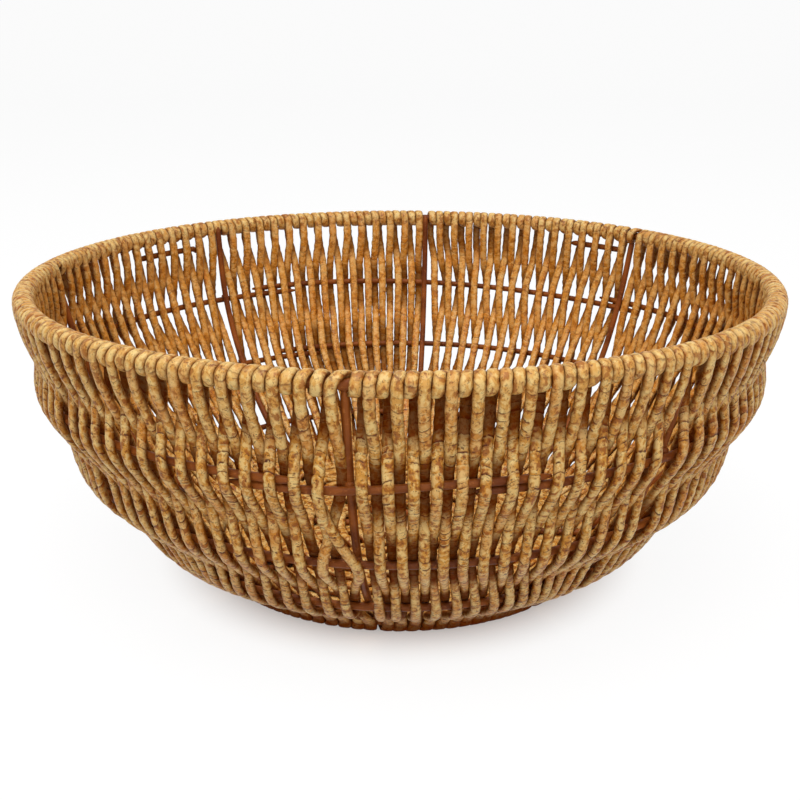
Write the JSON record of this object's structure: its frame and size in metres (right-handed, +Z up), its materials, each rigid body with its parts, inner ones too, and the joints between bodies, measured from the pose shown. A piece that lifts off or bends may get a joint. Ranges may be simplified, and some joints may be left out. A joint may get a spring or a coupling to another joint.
{
  "type": "open woven fruit basket",
  "caption": "Round open fruit bowl: a mottled tan plastic cord woven up and down over a brown coated wire frame with hoops and ribs, wrapped over the rim.",
  "frame": {"origin": "centre of the circle that the bowl stands on, at the height of the surface under it", "axes": "+Z up out of the bowl's mouth; -Y is the side that faces the camera, and the first rib lies a little to the left of it"},
  "size_m": [0.2796, 0.2796, 0.1132],
  "materials": {
    "coated_wire": "smooth brown plastic coating, half gloss",
    "woven_cord": "wrinkled plastic film with brown blotches over a soft core, light satin"
  },
  "bodies": {
    "root": {"rim_wire": "coated_wire", "upper_hoop_1": "coated_wire", "upper_hoop_2": "coated_wire", "upper_hoop_3": "coated_wire", "upper_hoop_4": "coated_wire", "middle_hoop": "coated_wire", "lower_hoop": "coated_wire", "base_ring": "coated_wire", "hub_ring": "coated_wire", "rib_1": "coated_wire", "rib_2": "coated_wire", "rib_3": "coated_wire", "rib_4": "coated_wire", "rib_5": "coated_wire", "rib_6": "coated_wire", "rib_7": "coated_wire", "rib_8": "coated_wire", "weave_bay_1": "woven_cord", "weave_bay_2": "woven_cord", "weave_bay_3": "woven_cord", "weave_bay_4": "woven_cord", "weave_bay_5": "woven_cord", "weave_bay_6": "woven_cord", "weave_bay_7": "woven_cord", "weave_bay_8": "woven_cord", "floor_cord": "woven_cord"}
  },
  "joints": []
}
